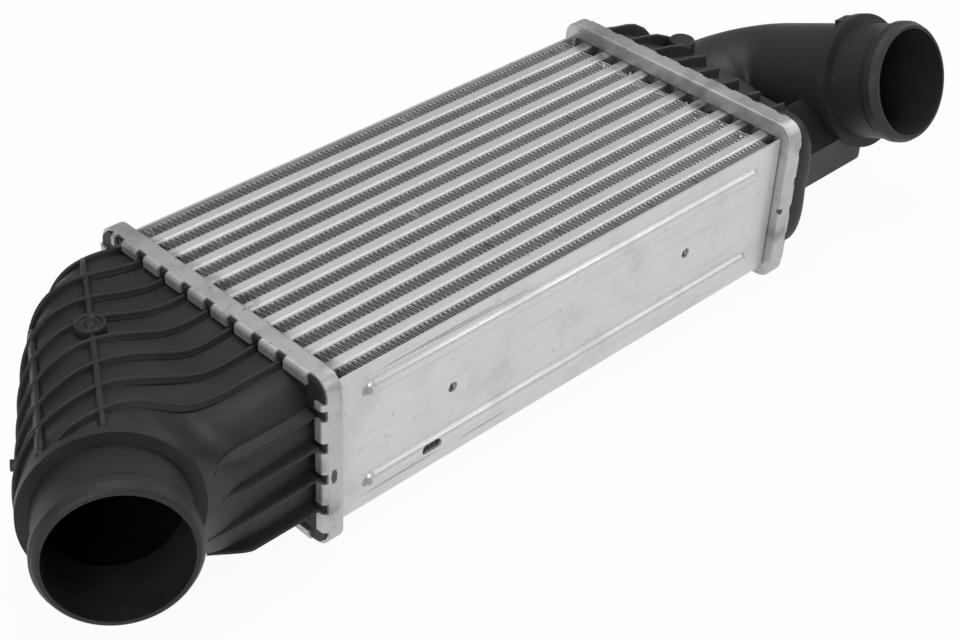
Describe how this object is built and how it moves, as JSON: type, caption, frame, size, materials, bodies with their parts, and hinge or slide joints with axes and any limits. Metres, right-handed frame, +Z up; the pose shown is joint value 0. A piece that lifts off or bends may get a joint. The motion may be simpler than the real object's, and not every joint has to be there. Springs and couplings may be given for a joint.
{
  "type": "intercooler",
  "caption": "Air-to-air intercooler with a plate-and-tube core, crimped header pans and two moulded end tanks whose hose spigots point to the same side.",
  "frame": {"origin": "middle of the overall outline in plan, at the undersides of the header pans", "axes": "+X along the tubes from the inlet tank to the outlet tank, -Y to the side the hose spigots face, +Z up through the core's depth"},
  "size_m": [0.5938, 0.1914, 0.115],
  "materials": {
    "tube": "brazed, satin",
    "turbulator": "brazed, satin",
    "fin": "thin brazed sheet, matte",
    "side_plate": "stamped sheet, satin",
    "header_pan": "pressed sheet, satin",
    "gasket": "moulded rubber",
    "tank": "glass-filled moulding, fine grain"
  },
  "bodies": {
    "root": {"fin_row_01": "fin", "fin_row_02": "fin", "fin_row_03": "fin", "fin_row_04": "fin", "fin_row_05": "fin", "fin_row_06": "fin", "fin_row_07": "fin", "fin_row_08": "fin", "fin_row_09": "fin", "fin_row_10": "fin", "fin_row_11": "fin", "gasket_inlet": "gasket", "gasket_outlet": "gasket", "header_pan_inlet": "header_pan", "header_pan_outlet": "header_pan", "inlet_tank": "tank", "outlet_tank": "tank", "side_plate_far": "side_plate", "side_plate_near": "side_plate", "tube_01": "tube", "tube_02": "tube", "tube_03": "tube", "tube_04": "tube", "tube_05": "tube", "tube_06": "tube", "tube_07": "tube", "tube_08": "tube", "tube_09": "tube", "tube_10": "tube", "turbulator_01": "turbulator", "turbulator_02": "turbulator", "turbulator_03": "turbulator", "turbulator_04": "turbulator", "turbulator_05": "turbulator", "turbulator_06": "turbulator", "turbulator_07": "turbulator", "turbulator_08": "turbulator", "turbulator_09": "turbulator", "turbulator_10": "turbulator"}
  },
  "joints": []
}
